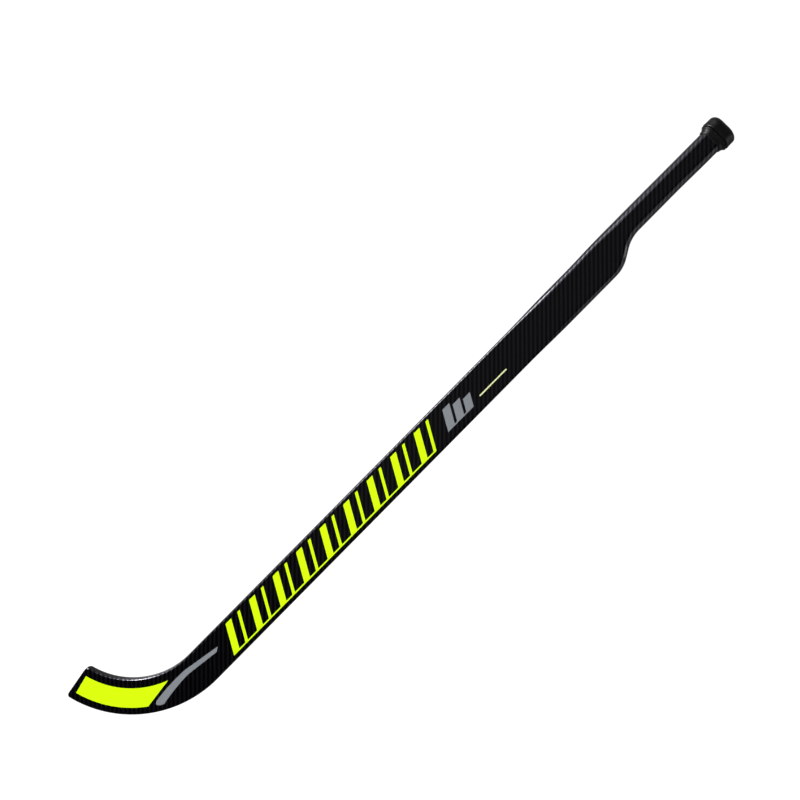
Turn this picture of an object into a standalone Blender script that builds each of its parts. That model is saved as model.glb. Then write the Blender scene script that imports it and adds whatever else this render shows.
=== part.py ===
"""Rink hockey goalkeeper's stick, built from its separate pieces.

The stick lies flat on its back. It is drawn first on a plane of its own: x runs along the paddle, from the
heel where the concave edge starts to curl towards the handle's end, y runs across it towards the side that
the hook points to, and z is thickness, with zero halfway between the two faces. A parent empty then moves
the drawing, so that the middle of the outline stands on the origin and the cap's underside on z = 0.
"""
import math

import bmesh
import bpy
import numpy as np

MM = 0.001

# Thickness and walls
HALF_THICKNESS = 10.0 * MM
SKIN = 1.6 * MM
GAP = 0.3 * MM

# Paddle: parallel edges, swelling a little towards its upper end
PADDLE_HALF_WIDTH = 22.85 * MM
SWELL = 1.15 * MM
SWELL_RUN = (547 * MM, 620 * MM)
CONCAVE_RISE = 1.2 * MM
CONCAVE_RISE_RUN = (655 * MM, 718 * MM)

# Blade: two arcs, cut off by the toe, which lies a little short of a line through the inner arc's centre
INNER_RADIUS = 97.5 * MM
OUTER_RADIUS = 147.6 * MM
OUTER_ARC_START = 5.4 * MM
TOE_SWEEP = math.radians(80.15)
TOE_SETBACK = 2.5 * MM
TOE_INNER_CORNER = 6.4 * MM
TOE_OUTER_CORNER = 4.5 * MM
SHARPEST_CORNER = 0.4 * MM

# Shoulder: the convex edge steps in to the handle
SHOULDER_START = 697.5 * MM
SHOULDER_ANGLE = math.radians(31)
SHOULDER_OUTER_RADIUS = 47 * MM
SHOULDER_INNER_RADIUS = 50 * MM
SHOULDER_RISE = 19.9 * MM

# Handle, whose middle line drifts slightly towards the convex side on its way to the butt
CONCAVE_DRIFT = 0.45 * MM
CONCAVE_DRIFT_RUN = (750 * MM, 885 * MM)
CONVEX_DRIFT = 0.95 * MM
CONVEX_DRIFT_RUN = (816 * MM, 885 * MM)
LIP_X = 893 * MM

# Radius of the rounded long edges: the paddle, and what the upper paddle and the handle add. Round the hook
# it is listed in millimetres, each with its share of the way to the toe.
EDGE_RADIUS = 2.7 * MM
UPPER_EDGE_GAIN = 3.4 * MM
HANDLE_EDGE_GAIN = 2.1 * MM
HANDLE_EDGE_RUN = (690 * MM, 750 * MM)
HOOK_EDGE_RADII = ((0.0, 2.7), (0.2, 2.2), (0.7, 2.2), (1.0, 2.8))

# Butt: the skins are ground down to a tenon, and the cap's socket slides over it. The waist lists the cap's
# outside in millimetres: the distance from its lip, and how far it stands proud of the handle. The lip and
# the groove are bowed, so that they lie further up the stick on its faces than on its sides.
TENON_STEP = 0.7 * MM
CUTTER_MARGIN = 1.0 * MM
MERGE_DISTANCE = 0.001 * MM
CAP_LENGTH = 30.3 * MM
CAP_END_WALL = 6.5 * MM
CAP_BOW = 4.2 * MM
CAP_BOW_FADE = (10 * MM, 20 * MM)
CAP_END_RUN = 8.5 * MM
CAP_END_TURN_IN = (9.0 * MM, 13.0 * MM)
CAP_END_THINNING = 8.5 * MM
CAP_END_CORNER_LOSS = 7.9 * MM
CAP_THICKNESS_SHARE = 0.67
CAP_CORNER_SHARE = 0.85
CAP_WAIST = ((0.0, 0.3), (0.6, 0.9), (2.0, 1.45), (4.4, 1.8), (5.6, 2.4), (7.0, 3.7), (8.4, 4.9), (8.7, 4.6),
             (8.9, 3.5), (9.35, 3.3), (9.6, 4.3), (10.4, 5.1), (12.4, 5.4), (15.8, 5.0))

# Cores: where one piece ends and the next begins
HEEL_CUT = 6 * MM
PADDLE_CUT = 76 * MM
SHOULDER_CUT = 690 * MM
HANDLE_CUT = 772 * MM
PLUG_LENGTH = 58 * MM
RIB_HALF_WIDTH = 1.5 * MM

# Printed panels: thin plates in shallow recesses, just under the face
RECESS = 0.6 * MM
PANEL_THICKNESS = 0.25 * MM
PANEL_SINK = 0.05 * MM
BLADE_PANEL_CENTRE = (0.0, 119.85 * MM)
BLADE_PANEL_RADII = (108.0 * MM, 131.6 * MM)
BLADE_PANEL_TOE = math.radians(75.95)
BLADE_PANEL_HEEL = (math.radians(20.6), math.radians(36.2))
STRIPE_KNEE_X = -15 * MM
STRIPE_TOP_START_X = -66 * MM
STRIPE_BOTTOM_START_X = -62 * MM
STRIPE_TOP = (-30 * MM, 13.65 * MM)
STRIPE_BOTTOM = (-15 * MM, 6.5 * MM)
STRIPE_TOP_BEND = 1.9
STRIPE_BOTTOM_BEND = 2.1
STRIPE_LEFT_END = ((-68.8, 9.4), (-69.0, 7.4), (-67.4, 4.9))
STRIPE_TIP = ((33.9, 4.85), (28.15, 1.0))
BAR_LEAN = math.tan(math.radians(30))
BAR_HALF_HEIGHT = 17.3 * MM
BAR_START = 50 * MM
BAR_PITCH = 20.4 * MM
BAR_COUNT = 18
BAR_WIDTHS = (9.8 * MM, 4.2 * MM)
BASE_LINE = 1.6 * MM
GREY_BARS = ((424, 12.0, 12.6), (440, 12.0, 8.4), (456, 12.0, 4.2))
GREY_BASE_Y = -11.6 * MM
PINSTRIPE = (475.6 * MM, 521.9 * MM)
PINSTRIPE_Y = -7.8 * MM
PINSTRIPE_HALF_WIDTH = 0.8 * MM

CAP_X = LIP_X + CAP_LENGTH
BUTT_X = CAP_X - CAP_END_WALL - GAP
HANDLE_TOP_Y = PADDLE_HALF_WIDTH + SWELL + CONCAVE_RISE - CONCAVE_DRIFT
HANDLE_BOTTOM_Y = -PADDLE_HALF_WIDTH - SWELL + SHOULDER_RISE - CONVEX_DRIFT
HANDLE_MIDDLE_Y = (HANDLE_TOP_Y + HANDLE_BOTTOM_Y) / 2
HANDLE_HALF_WIDTH = (HANDLE_TOP_Y - HANDLE_BOTTOM_Y) / 2
CAP_HALF_THICKNESS = HALF_THICKNESS + CAP_THICKNESS_SHARE * max(proud for _, proud in CAP_WAIST) * MM
INNER_CENTRE = np.array([0.0, PADDLE_HALF_WIDTH + INNER_RADIUS])
OUTER_CENTRE = np.array([OUTER_ARC_START, OUTER_RADIUS - PADDLE_HALF_WIDTH])
SHOULDER_SLOPE_RUN = (SHOULDER_RISE - (SHOULDER_OUTER_RADIUS + SHOULDER_INNER_RADIUS)
                      * (1 - math.cos(SHOULDER_ANGLE))) / math.tan(SHOULDER_ANGLE)
SHOULDER_END = (SHOULDER_START + SHOULDER_SLOPE_RUN
                + (SHOULDER_OUTER_RADIUS + SHOULDER_INNER_RADIUS) * math.sin(SHOULDER_ANGLE))


def ease(x, run):
    """0 before the run, 1 after it, and a smooth step along it."""
    u = np.clip((x - run[0]) / (run[1] - run[0]), 0, 1)
    return u * u * (3 - 2 * u)


def concave_edge(x):
    """Height y of the straight edge on the hook's side."""
    return (PADDLE_HALF_WIDTH + SWELL * ease(x, SWELL_RUN) + CONCAVE_RISE * ease(x, CONCAVE_RISE_RUN)
            - CONCAVE_DRIFT * ease(x, CONCAVE_DRIFT_RUN))


def shoulder_rise(x):
    """How far the shoulder has stepped in at x: an arc, a slope and an arc the other way."""
    u = np.clip(x - SHOULDER_START, 0, SHOULDER_END - SHOULDER_START)
    back = SHOULDER_END - SHOULDER_START - u
    first = SHOULDER_OUTER_RADIUS * math.sin(SHOULDER_ANGLE)
    last = SHOULDER_INNER_RADIUS * math.sin(SHOULDER_ANGLE)
    arc_in = SHOULDER_OUTER_RADIUS - np.sqrt(SHOULDER_OUTER_RADIUS ** 2 - np.minimum(u, first) ** 2)
    arc_out = SHOULDER_INNER_RADIUS - np.sqrt(SHOULDER_INNER_RADIUS ** 2 - np.minimum(back, last) ** 2)
    slope = SHOULDER_OUTER_RADIUS * (1 - math.cos(SHOULDER_ANGLE)) + (u - first) * math.tan(SHOULDER_ANGLE)
    return np.where(u < first, arc_in, np.where(back < last, SHOULDER_RISE - arc_out, slope))


def convex_edge(x):
    """Height y of the edge on the outer side, with the shoulder."""
    return (-PADDLE_HALF_WIDTH - SWELL * ease(x, SWELL_RUN) + shoulder_rise(x)
            - CONVEX_DRIFT * ease(x, CONVEX_DRIFT_RUN))


def edge_radius(x):
    """Radius of the rounded long edges at x."""
    return EDGE_RADIUS + UPPER_EDGE_GAIN * ease(x, SWELL_RUN) + HANDLE_EDGE_GAIN * ease(x, HANDLE_EDGE_RUN)


def inset(x, wall, turn):
    """Distance in from the outline of a point on the rounded edge; turn is 0 at the face and 90 at the side.

    wall is how far inside the outer surface the point lies, so the roundings of all pieces share a centre.
    """
    return wall + (edge_radius(x) - wall) * (1 - math.sin(turn))


def height(x, wall, turn):
    """Height above the mid-plane of the same point."""
    return HALF_THICKNESS - wall - (edge_radius(x) - wall) * (1 - math.cos(turn))


FIRST_ARC_X = SHOULDER_START + SHOULDER_OUTER_RADIUS * np.sin(np.linspace(0, SHOULDER_ANGLE, 5))
LAST_ARC_X = SHOULDER_END - SHOULDER_INNER_RADIUS * np.sin(np.linspace(SHOULDER_ANGLE, 0, 5))
SWELL_X = np.linspace(*SWELL_RUN, 6)
CONCAVE_STATIONS = np.concatenate([
    SWELL_X, np.linspace(*CONCAVE_RISE_RUN, 5), np.linspace(*CONCAVE_DRIFT_RUN, 5)])
CONVEX_STATIONS = np.concatenate([
    SWELL_X, FIRST_ARC_X, LAST_ARC_X, np.linspace(*CONVEX_DRIFT_RUN, 5)])


def edge_run(edge, stations, x0, x1, inward, wall, turn):
    """Points along one long edge from x0 to x1, moved in from the outline along its normal.

    inward is +1 where the material lies above the edge and -1 where it lies below. The two ends keep
    their x, so that a piece's cut end is flat.
    """
    between = stations[(stations > x0 + GAP) & (stations < x1 - GAP)]
    x = np.concatenate([[x0], between, [x1]])
    probe = 0.1 * MM
    slope = (edge(x + probe) - edge(x - probe)) / (2 * probe)
    across = inset(x, wall, turn) / np.sqrt(1 + slope ** 2)
    along = -slope * across * inward
    along[[0, -1]] = 0
    return np.column_stack([x + along, edge(x) + across * inward, height(x, wall, turn)])


def on_circle(centre, radius, sweeps):
    """Points on a circle; a sweep is measured at its centre, from straight below towards the toe."""
    return centre + radius * np.column_stack([-np.sin(sweeps), -np.cos(sweeps)])


def hook_run(wall, turn):
    """Points round the hook, from the concave edge at the heel, past the toe, to the convex edge.

    Each toe corner is an arc that touches the toe's cut and one of the blade's two arcs, so it is worked out
    anew for each inset and never folds over itself.
    """
    def rounding(share):
        radius = np.interp(share, *np.array(HOOK_EDGE_RADII).T) * MM - wall
        return wall + radius * (1 - math.sin(turn)), HALF_THICKNESS - wall - radius * (1 - math.cos(turn))

    way_in, way_out = np.linspace(0, 1, 12), np.linspace(1, 0, 17)
    depth_in, high_in = rounding(way_in)
    depth_out, high_out = rounding(way_out)
    depth, high = depth_in[-1], high_in[-1]
    inner_corner = max(TOE_INNER_CORNER - depth, SHARPEST_CORNER)
    outer_corner = max(TOE_OUTER_CORNER - depth, SHARPEST_CORNER)
    inner = INNER_RADIUS + depth + inner_corner
    outer = OUTER_RADIUS - depth - outer_corner
    radial = np.array([-math.sin(TOE_SWEEP), -math.cos(TOE_SWEEP)])
    forward = np.array([-math.cos(TOE_SWEEP), math.sin(TOE_SWEEP)])

    back = TOE_SETBACK + depth + inner_corner
    inner_middle = INNER_CENTRE + math.sqrt(inner ** 2 - back ** 2) * radial - back * forward
    inner_end = TOE_SWEEP - math.asin(back / inner)

    back = TOE_SETBACK + depth + outer_corner
    start = INNER_CENTRE - back * forward - OUTER_CENTRE
    along = -start @ radial + math.sqrt((start @ radial) ** 2 - start @ start + outer ** 2)
    outer_middle = INNER_CENTRE + along * radial - back * forward
    reach = outer_middle - OUTER_CENTRE
    outer_end = math.atan2(-reach[0], -reach[1])

    toe_turn = TOE_SWEEP + math.pi / 2
    points = np.concatenate([
        on_circle(INNER_CENTRE, INNER_RADIUS + depth_in[:, None], way_in * inner_end),
        on_circle(inner_middle, inner_corner, np.linspace(inner_end + math.pi, toe_turn, 5))[1:],
        on_circle(outer_middle, outer_corner, np.linspace(toe_turn, outer_end, 5))[:-1],
        on_circle(OUTER_CENTRE, OUTER_RADIUS - depth_out[:, None], way_out * outer_end),
    ])
    return np.column_stack([points, np.concatenate([high_in, np.full(8, high), high_out])])


def rim_run(cut_x, wall, turn):
    """The whole rim as one open line: concave edge from cut_x, round the hook, convex edge back to cut_x."""
    upper = edge_run(concave_edge, CONCAVE_STATIONS, 0.0, cut_x, -1, wall, turn)[:0:-1]
    lower = edge_run(convex_edge, CONVEX_STATIONS, OUTER_ARC_START, cut_x, 1, wall, turn)[1:]
    return np.concatenate([upper, hook_run(wall, turn), lower])


def strip_run(x0, x1, wall, turn, top=None, bottom=None):
    """Outline of a piece between x0 and x1, bounded by the long edges or by a straight top or bottom."""
    if top is None:
        upper = edge_run(concave_edge, CONCAVE_STATIONS, x0, x1, -1, wall, turn)[::-1]
    else:
        upper = np.array([[x1, top, height(x1, wall, turn)], [x0, top, height(x0, wall, turn)]])
    if bottom is None:
        lower = edge_run(convex_edge, CONVEX_STATIONS, x0, x1, 1, wall, turn)
    else:
        lower = np.array([[x0, bottom, height(x0, wall, turn)], [x1, bottom, height(x1, wall, turn)]])
    return np.concatenate([upper, lower])


def bow(z):
    """How much further along the stick the handle ends, and the cap's lip begins, at height z."""
    return CAP_BOW * (z / HALF_THICKNESS) ** 2


def rounded_section(x, half_width, half_thickness, corner, steps=6):
    """Rounded rectangle across the handle's axis, as points (x, y, z) round that axis."""
    turns = np.linspace(0, math.pi / 2, steps + 1)
    quarter = [(half_width - corner, half_thickness - corner), (corner - half_width, half_thickness - corner),
               (corner - half_width, corner - half_thickness), (half_width - corner, corner - half_thickness)]
    rings = [np.column_stack([cy + corner * np.cos(turns + k * math.pi / 2),
                              cz + corner * np.sin(turns + k * math.pi / 2)])
             for k, (cy, cz) in enumerate(quarter)]
    points = np.concatenate(rings)
    return np.column_stack([np.full(len(points), x), points])


def finish(name, colour, roughness, metallic=0.0):
    """Principled material with the piece's own colour, roughness and metallic value."""
    material = bpy.data.materials.new(name)
    material.use_nodes = True
    shader = material.node_tree.nodes["Principled BSDF"]
    shader.inputs["Base Color"].default_value = (*colour, 1)
    shader.inputs["Roughness"].default_value = roughness
    shader.inputs["Metallic"].default_value = metallic
    material.diffuse_color = (*colour, 1)
    return material


def add_piece(name, work, material, parent):
    """Turns a bmesh into a named object with outward faces, its material and its parent."""
    bmesh.ops.recalc_face_normals(work, faces=work.faces)
    mesh = bpy.data.meshes.new(name)
    work.to_mesh(mesh)
    work.free()
    mesh.shade_smooth()
    mesh.set_sharp_from_angle(angle=math.radians(35))
    piece = bpy.data.objects.new(name, mesh)
    bpy.context.scene.collection.objects.link(piece)
    piece.parent = parent
    if material:
        mesh.materials.append(material)
    return piece


def add_rings(work, rings, closed):
    """Adds rings of points and the strips of faces between them; returns the rings' vertices."""
    loops = [[work.verts.new(point) for point in ring] for ring in rings]
    for low, high in zip(loops, loops[1:]):
        for i in range(len(low) - (0 if closed else 1)):
            j = (i + 1) % len(low)
            work.faces.new((low[i], low[j], high[j], high[i]))
    return loops


def skin(name, side, cut_x, material, parent):
    """Half shell: a flat face with a rounded rim, hollow behind, open at the handle's end.

    Its rings of points run from the face, over the rounded edge, down to the parting line and back up
    the inner wall. side is +1 for the front and -1 for the back.
    """
    turns = np.radians([0, 22.5, 45, 67.5, 90])
    outer = [rim_run(cut_x, 0.0, turn) for turn in turns]
    foot_out = outer[-1].copy()
    foot_out[:, 2] = GAP / 2
    inner = [rim_run(cut_x, SKIN, turn) for turn in turns[::-1]]
    foot_in = inner[0].copy()
    foot_in[:, 2] = GAP / 2
    rings = [ring * (1, 1, side) for ring in outer + [foot_out, foot_in] + inner]
    work = bmesh.new()
    loops = add_rings(work, rings, closed=False)
    work.faces.new(loops[0])
    work.faces.new(loops[-1])
    work.faces.new([loop[0] for loop in loops] + [loop[-1] for loop in reversed(loops)])
    return add_piece(name, work, material, parent)


def core(name, outline, material, parent):
    """Solid filling between the skins, with rounded edges that follow the inner wall at a small gap."""
    wall = SKIN + GAP
    turns = np.radians([0, 30, 60, 90])
    below = [outline(wall, turn) * (1, 1, -1) for turn in turns]
    above = [outline(wall, turn) for turn in turns[::-1]]
    work = bmesh.new()
    loops = add_rings(work, below + above, closed=True)
    work.faces.new(loops[0])
    work.faces.new(loops[-1])
    return add_piece(name, work, material, parent)


def prisms(name, outlines, low, high, material, parent):
    """One object of straight-sided plates, each from its flat outline, between two heights."""
    work = bmesh.new()
    for outline in outlines:
        rings = [np.column_stack([outline, np.full(len(outline), z)]) for z in (low, high)]
        loops = add_rings(work, rings, closed=True)
        work.faces.new(loops[0])
        work.faces.new(loops[1])
    return add_piece(name, work, material, parent)


def hide_cutter(cutter):
    """Marks a solid that only cuts others."""
    cutter.hide_render = True
    cutter.display_type = "WIRE"


def cut(piece, cutter):
    """Takes the cutter's shape out of the piece."""
    modifier = piece.modifiers.new("cut by " + cutter.name, "BOOLEAN")
    modifier.operation = "DIFFERENCE"
    modifier.solver = "EXACT"
    modifier.object = cutter


def grown(outline, margin):
    """The outline moved outwards by a margin, with its corners kept sharp."""
    following = np.roll(outline, -1, axis=0)
    ahead = following - outline
    ahead /= np.linalg.norm(ahead, axis=1)[:, None]
    behind = np.roll(ahead, 1, axis=0)
    double_area = np.sum(outline[:, 0] * following[:, 1] - outline[:, 1] * following[:, 0])
    side = 1 if double_area > 0 else -1
    out_ahead = side * np.column_stack([ahead[:, 1], -ahead[:, 0]])
    out_behind = side * np.column_stack([behind[:, 1], -behind[:, 0]])
    middle = out_ahead + out_behind
    return outline + middle * (2 * margin / np.sum(middle ** 2, axis=1))[:, None]


def blade_panel():
    """Panel between two arcs of the blade, square at the toe and drawn to a point at the heel."""
    inner_radius, outer_radius = BLADE_PANEL_RADII
    inner_heel, outer_heel = BLADE_PANEL_HEEL
    inner = on_circle(np.array(BLADE_PANEL_CENTRE), inner_radius, np.linspace(inner_heel, BLADE_PANEL_TOE, 10))
    outer = on_circle(np.array(BLADE_PANEL_CENTRE), outer_radius, np.linspace(BLADE_PANEL_TOE, outer_heel, 8))
    return [np.concatenate([inner, outer])]


def heel_stripe():
    """Stripe that follows the heel's bend, round at its blade end and cut slanting at its thin end."""
    top_x = np.linspace(STRIPE_TOP_START_X, STRIPE_KNEE_X, 6)
    bottom_x = np.linspace(STRIPE_KNEE_X, STRIPE_BOTTOM_START_X, 6)
    top = STRIPE_TOP[1] - STRIPE_TOP_BEND * (top_x - STRIPE_TOP[0]) ** 2
    bottom = STRIPE_BOTTOM[1] - STRIPE_BOTTOM_BEND * (bottom_x - STRIPE_BOTTOM[0]) ** 2
    return [np.concatenate([
        np.column_stack([top_x, top]),
        np.array(STRIPE_TIP) * MM,
        np.column_stack([bottom_x, bottom]),
        np.array(STRIPE_LEFT_END)[::-1] * MM,
    ])]


def comb(bars, base_y):
    """Leaning bars that stand on one thin base line, as a single outline.

    A bar is (x, width, top): x is where its left side, which leans towards the handle, crosses y = 0.
    """
    line_y = base_y + BASE_LINE
    first, last = bars[0], bars[-1]
    points = [(first[0] + base_y * BAR_LEAN, base_y), (last[0] + last[1] + base_y * BAR_LEAN, base_y)]
    for x, width, top in reversed(bars):
        points += [(x + width + line_y * BAR_LEAN, line_y), (x + width + top * BAR_LEAN, top),
                   (x + top * BAR_LEAN, top), (x + line_y * BAR_LEAN, line_y)]
    del points[2]
    del points[-1]
    return [np.array(points)]


def paddle_bars():
    """Row of leaning bars along the paddle, broad and narrow by turns."""
    return comb([(BAR_START + k * BAR_PITCH, BAR_WIDTHS[k % 2], BAR_HALF_HEIGHT) for k in range(BAR_COUNT)],
                -BAR_HALF_HEIGHT)


def grey_bars():
    """Three leaning bars, each shorter than the one before."""
    return comb([(x * MM, width * MM, top * MM) for x, width, top in GREY_BARS], GREY_BASE_Y)


def pinstripe():
    """Thin line along the paddle."""
    left, right = PINSTRIPE
    low, high = PINSTRIPE_Y - PINSTRIPE_HALF_WIDTH, PINSTRIPE_Y + PINSTRIPE_HALF_WIDTH
    return [np.array([[left, low], [right, low], [right, high], [left, high]])]


def end_cap(material, parent):
    """Rubber knob: a thin lip, a collar that flares out, a groove, and a head with a rounded end.

    The end turns in further on the convex side than on the concave one.
    """
    def outside(x, proud, closing=0.0):
        concave_side, convex_side = (closing * turn_in for turn_in in CAP_END_TURN_IN)
        half_width = HANDLE_HALF_WIDTH + proud - (concave_side + convex_side) / 2
        half_thickness = HALF_THICKNESS + CAP_THICKNESS_SHARE * proud - closing * CAP_END_THINNING
        corner = edge_radius(LIP_X) + CAP_CORNER_SHARE * proud - closing * CAP_END_CORNER_LOSS
        ring = rounded_section(x, half_width, half_thickness, corner)
        ring[:, 0] += (1 - ease(x, CAP_BOW_FADE)) * bow(ring[:, 2] * HALF_THICKNESS / half_thickness)
        return ring + (0, (convex_side - concave_side) / 2, 0)

    socket_grow = GAP - TENON_STEP
    socket = [rounded_section(x, HANDLE_HALF_WIDTH + socket_grow, HALF_THICKNESS + socket_grow,
                              edge_radius(LIP_X) + socket_grow)
              for x in (BUTT_X + GAP - LIP_X, 0.0)]
    socket[1][:, 0] += bow(socket[1][:, 2])
    waist = [outside(x * MM, proud * MM) for x, proud in CAP_WAIST]
    turns = np.linspace(0, math.pi / 2, 9)
    head = [outside(CAP_LENGTH - CAP_END_RUN * (1 - math.sin(turn)), CAP_WAIST[-1][1] * MM,
                    1 - math.cos(turn))
            for turn in turns]
    work = bmesh.new()
    loops = add_rings(work, socket + waist + head, closed=True)
    work.faces.new(loops[0])
    work.faces.new(loops[-1])
    cap = add_piece("end_cap", work, material, parent)
    cap.location = (LIP_X, HANDLE_MIDDLE_Y, 0)
    return cap


def tenon_cutter(parent):
    """Sleeve round the handle's end, whose bore leaves the tenon standing."""
    ends = (LIP_X - GAP, BUTT_X + CUTTER_MARGIN)
    bore = [rounded_section(x, HANDLE_HALF_WIDTH - TENON_STEP, HALF_THICKNESS - TENON_STEP,
                            edge_radius(LIP_X) - TENON_STEP) for x in ends]
    outside = [rounded_section(x, HANDLE_HALF_WIDTH + CUTTER_MARGIN, HALF_THICKNESS + CUTTER_MARGIN,
                               edge_radius(LIP_X) + CUTTER_MARGIN) for x in ends[::-1]]
    for ring in (bore[0], outside[1]):
        ring[:, 0] += bow(ring[:, 2])
    rings = bore + outside + bore[:1]
    work = bmesh.new()
    add_rings(work, rings, closed=True)
    bmesh.ops.remove_doubles(work, verts=work.verts, dist=MERGE_DISTANCE)
    cutter = add_piece("tenon_cutter", work, None, parent)
    cutter.location = (0, HANDLE_MIDDLE_Y, 0)
    hide_cutter(cutter)
    return cutter


for old in list(bpy.data.objects):
    bpy.data.objects.remove(old, do_unlink=True)

carbon = finish("carbon laminate", (0.012, 0.012, 0.014), 0.18)
dense_foam = finish("dense blade foam", (0.42, 0.36, 0.24), 0.85)
light_foam = finish("light paddle foam", (0.72, 0.68, 0.52), 0.9)
wood = finish("beech", (0.55, 0.36, 0.18), 0.6)
rib_ply = finish("rib laminate", (0.05, 0.05, 0.055), 0.5)
rubber = finish("black rubber", (0.018, 0.018, 0.018), 0.5)
yellow = finish("fluorescent yellow print", (0.72, 1.0, 0.0), 0.25)
grey = finish("grey print", (0.3, 0.33, 0.36), 0.3, 0.4)
pale = finish("pale yellow print", (0.86, 0.9, 0.45), 0.3)

outline_points = rim_run(BUTT_X, 0.0, math.pi / 2)
left, right = outline_points[:, 0].min(), CAP_X
bottom, top = outline_points[:, 1].min(), outline_points[:, 1].max()
stick = bpy.data.objects.new("stick_frame", None)
bpy.context.scene.collection.objects.link(stick)
stick.location = (-(left + right) / 2, -(bottom + top) / 2, CAP_HALF_THICKNESS)

front_skin = skin("front_skin", 1, BUTT_X, carbon, stick)
back_skin = skin("back_skin", -1, BUTT_X, carbon, stick)

core("blade_core", lambda wall, turn: rim_run(HEEL_CUT, wall, turn), dense_foam, stick)
core("heel_block", lambda wall, turn: strip_run(HEEL_CUT + GAP, PADDLE_CUT, wall, turn), wood, stick)
rib_edge = RIB_HALF_WIDTH + GAP
core("upper_paddle_core",
     lambda wall, turn: strip_run(PADDLE_CUT + GAP, SHOULDER_CUT, wall, turn, bottom=rib_edge),
     light_foam, stick)
core("lower_paddle_core",
     lambda wall, turn: strip_run(PADDLE_CUT + GAP, SHOULDER_CUT, wall, turn, top=-rib_edge),
     light_foam, stick)
core("shoulder_block",
     lambda wall, turn: strip_run(SHOULDER_CUT + GAP, HANDLE_CUT, wall, turn), dense_foam, stick)
core("handle_core",
     lambda wall, turn: strip_run(HANDLE_CUT + GAP, BUTT_X - PLUG_LENGTH, wall, turn), light_foam, stick)
core("butt_plug",
     lambda wall, turn: strip_run(BUTT_X - PLUG_LENGTH + GAP, BUTT_X - GAP, wall, turn), wood, stick)

rib_outline = np.array([[PADDLE_CUT + GAP, -RIB_HALF_WIDTH], [SHOULDER_CUT, -RIB_HALF_WIDTH],
                        [SHOULDER_CUT, RIB_HALF_WIDTH], [PADDLE_CUT + GAP, RIB_HALF_WIDTH]])
rib_height = HALF_THICKNESS - SKIN - GAP
prisms("paddle_rib", [rib_outline], -rib_height, rib_height, rib_ply, stick)

end_cap(rubber, stick)

panels = (("blade_panel", blade_panel(), yellow), ("heel_stripe", heel_stripe(), grey),
          ("paddle_bars", paddle_bars(), yellow), ("grey_bars", grey_bars(), grey),
          ("pinstripe", pinstripe(), pale))
tenon = tenon_cutter(stick)
for face, shell, side in (("front", front_skin, 1), ("back", back_skin, -1)):
    plate = sorted(side * (HALF_THICKNESS - PANEL_SINK - t) for t in (0.0, PANEL_THICKNESS))
    pocket = sorted(side * z for z in (HALF_THICKNESS - RECESS, HALF_THICKNESS + RECESS))
    for panel_name, outlines, material in panels:
        prisms(face + "_" + panel_name, outlines, *plate, material, stick)
    pockets = [grown(outline, GAP) for _, outlines, _ in panels for outline in outlines]
    pocket_cutter = prisms(face + "_pocket_cutter", pockets, *pocket, None, stick)
    hide_cutter(pocket_cutter)
    cut(shell, pocket_cutter)
    cut(shell, tenon)
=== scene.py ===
import math

import bmesh
import bpy
import numpy as np
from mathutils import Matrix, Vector


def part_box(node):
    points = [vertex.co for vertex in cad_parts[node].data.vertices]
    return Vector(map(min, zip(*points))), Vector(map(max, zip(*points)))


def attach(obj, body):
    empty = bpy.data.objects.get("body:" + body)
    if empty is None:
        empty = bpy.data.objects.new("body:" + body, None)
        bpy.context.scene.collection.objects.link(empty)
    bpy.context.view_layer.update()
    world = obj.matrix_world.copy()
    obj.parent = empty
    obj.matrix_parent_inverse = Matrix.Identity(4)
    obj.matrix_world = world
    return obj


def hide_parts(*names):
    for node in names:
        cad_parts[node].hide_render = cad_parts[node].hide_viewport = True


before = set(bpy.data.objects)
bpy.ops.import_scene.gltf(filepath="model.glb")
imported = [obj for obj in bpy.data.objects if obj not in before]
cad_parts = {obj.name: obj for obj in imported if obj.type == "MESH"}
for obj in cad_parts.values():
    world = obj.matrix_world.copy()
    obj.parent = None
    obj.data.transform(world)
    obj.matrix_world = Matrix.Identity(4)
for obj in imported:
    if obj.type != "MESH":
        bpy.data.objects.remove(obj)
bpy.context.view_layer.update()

MM = 0.001

# Foam cores
# Blocks of rigid closed-cell foam fill the shell, cut to the stick's plan and sanded to fit. Dense tan foam
# sits in the blade and the shoulder, where knocks land, and light cream foam in the paddle and the handle.
DENSE_FOAM = ((0.30, 0.245, 0.15), (0.47, 0.40, 0.27))
LIGHT_FOAM = ((0.60, 0.55, 0.40), (0.80, 0.76, 0.62))
DENSE_CELL = 0.35 * MM
LIGHT_CELL = 0.6 * MM
CELL_DEPTH = 0.35
FOAM_LIGHTEST = 1.25
FOAM_DRIFT = 0.8


def new_finish(name):
    """An empty material with its shader: gives the material, its node tree and the shader node."""
    material = bpy.data.materials.new(name)
    material.use_nodes = True
    return material, material.node_tree, material.node_tree.nodes["Principled BSDF"]


def wire(tree, kind, inputs=(), **settings):
    """Adds a node. inputs pairs each socket with a value or with another node's output."""
    made = tree.nodes.new(kind)
    for name, value in settings.items():
        setattr(made, name, value)
    for socket, value in dict(inputs).items():
        if isinstance(value, bpy.types.NodeSocket):
            tree.links.new(value, made.inputs[socket])
        else:
            made.inputs[socket].default_value = value
    return made


def reckon(tree, operation, *values):
    """Result of one sum on numbers or on other nodes' outputs."""
    return wire(tree, "ShaderNodeMath", enumerate(values), operation=operation).outputs[0]


def noise(tree, place, scale, detail=2.0):
    """Soft random height between 0 and 1; scale is how many of its waves go into one unit of place."""
    return wire(tree, "ShaderNodeTexNoise", {"Vector": place, "Scale": scale, "Detail": detail}).outputs[0]


def tint(tree, share, low, high):
    """Colour that goes from low to high as share goes from 0 to 1. Sockets 6 and 7 take the two colours."""
    ends = [(*colour, 1) if isinstance(colour, tuple) else colour for colour in (low, high)]
    return wire(tree, "ShaderNodeMix", {0: share, 6: ends[0], 7: ends[1]}, data_type="RGBA").outputs[2]


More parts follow.
